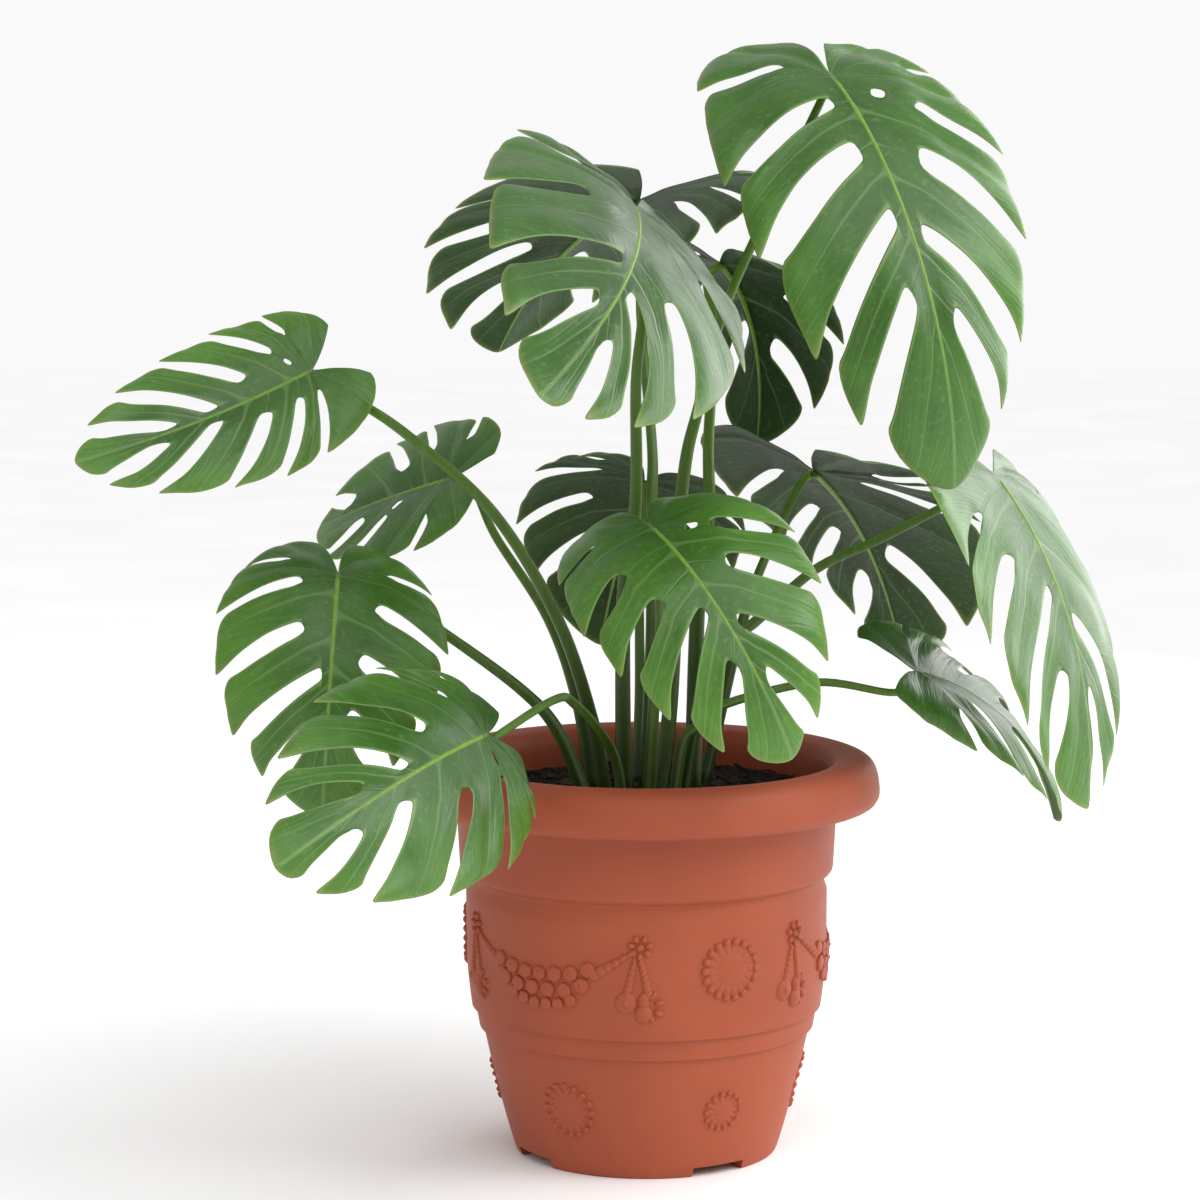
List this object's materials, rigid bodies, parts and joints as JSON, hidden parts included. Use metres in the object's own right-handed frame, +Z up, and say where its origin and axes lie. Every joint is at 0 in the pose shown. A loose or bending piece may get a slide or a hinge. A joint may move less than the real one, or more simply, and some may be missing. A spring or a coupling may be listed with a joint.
{
  "type": "potted monstera plant",
  "caption": "Large split-leaf monstera with arching petioles, growing in a round terracotta-coloured plastic planter filled with potting soil.",
  "frame": {"origin": "middle of the planter's underside, on the planter's axis", "axes": "+Z up along the planter's axis; -Y is the plant's best side, the one it is shown from"},
  "size_m": [0.8792, 0.8036, 0.9517],
  "materials": {
    "pot": "satin terracotta",
    "soil": "loose shredded bark",
    "leaf": "waxy green",
    "petiole": "smooth olive green"
  },
  "bodies": {
    "root": {"pot": "pot", "soil": "soil", "leaf_top_right": "leaf", "leaf_top_front": "leaf", "leaf_top_back": "leaf", "leaf_upper_back": "leaf", "leaf_far_left": "leaf", "leaf_left_back": "leaf", "leaf_left": "leaf", "leaf_low_left": "leaf", "leaf_middle_back": "leaf", "leaf_front": "leaf", "leaf_right_back": "leaf", "leaf_right": "leaf", "leaf_low_right": "leaf", "petiole_top_right": "petiole", "petiole_top_front": "petiole", "petiole_top_back": "petiole", "petiole_upper_back": "petiole", "petiole_far_left": "petiole", "petiole_left_back": "petiole", "petiole_left": "petiole", "petiole_low_left": "petiole", "petiole_middle_back": "petiole", "petiole_front": "petiole", "petiole_right_back": "petiole", "petiole_right": "petiole", "petiole_low_right": "petiole"}
  },
  "joints": []
}
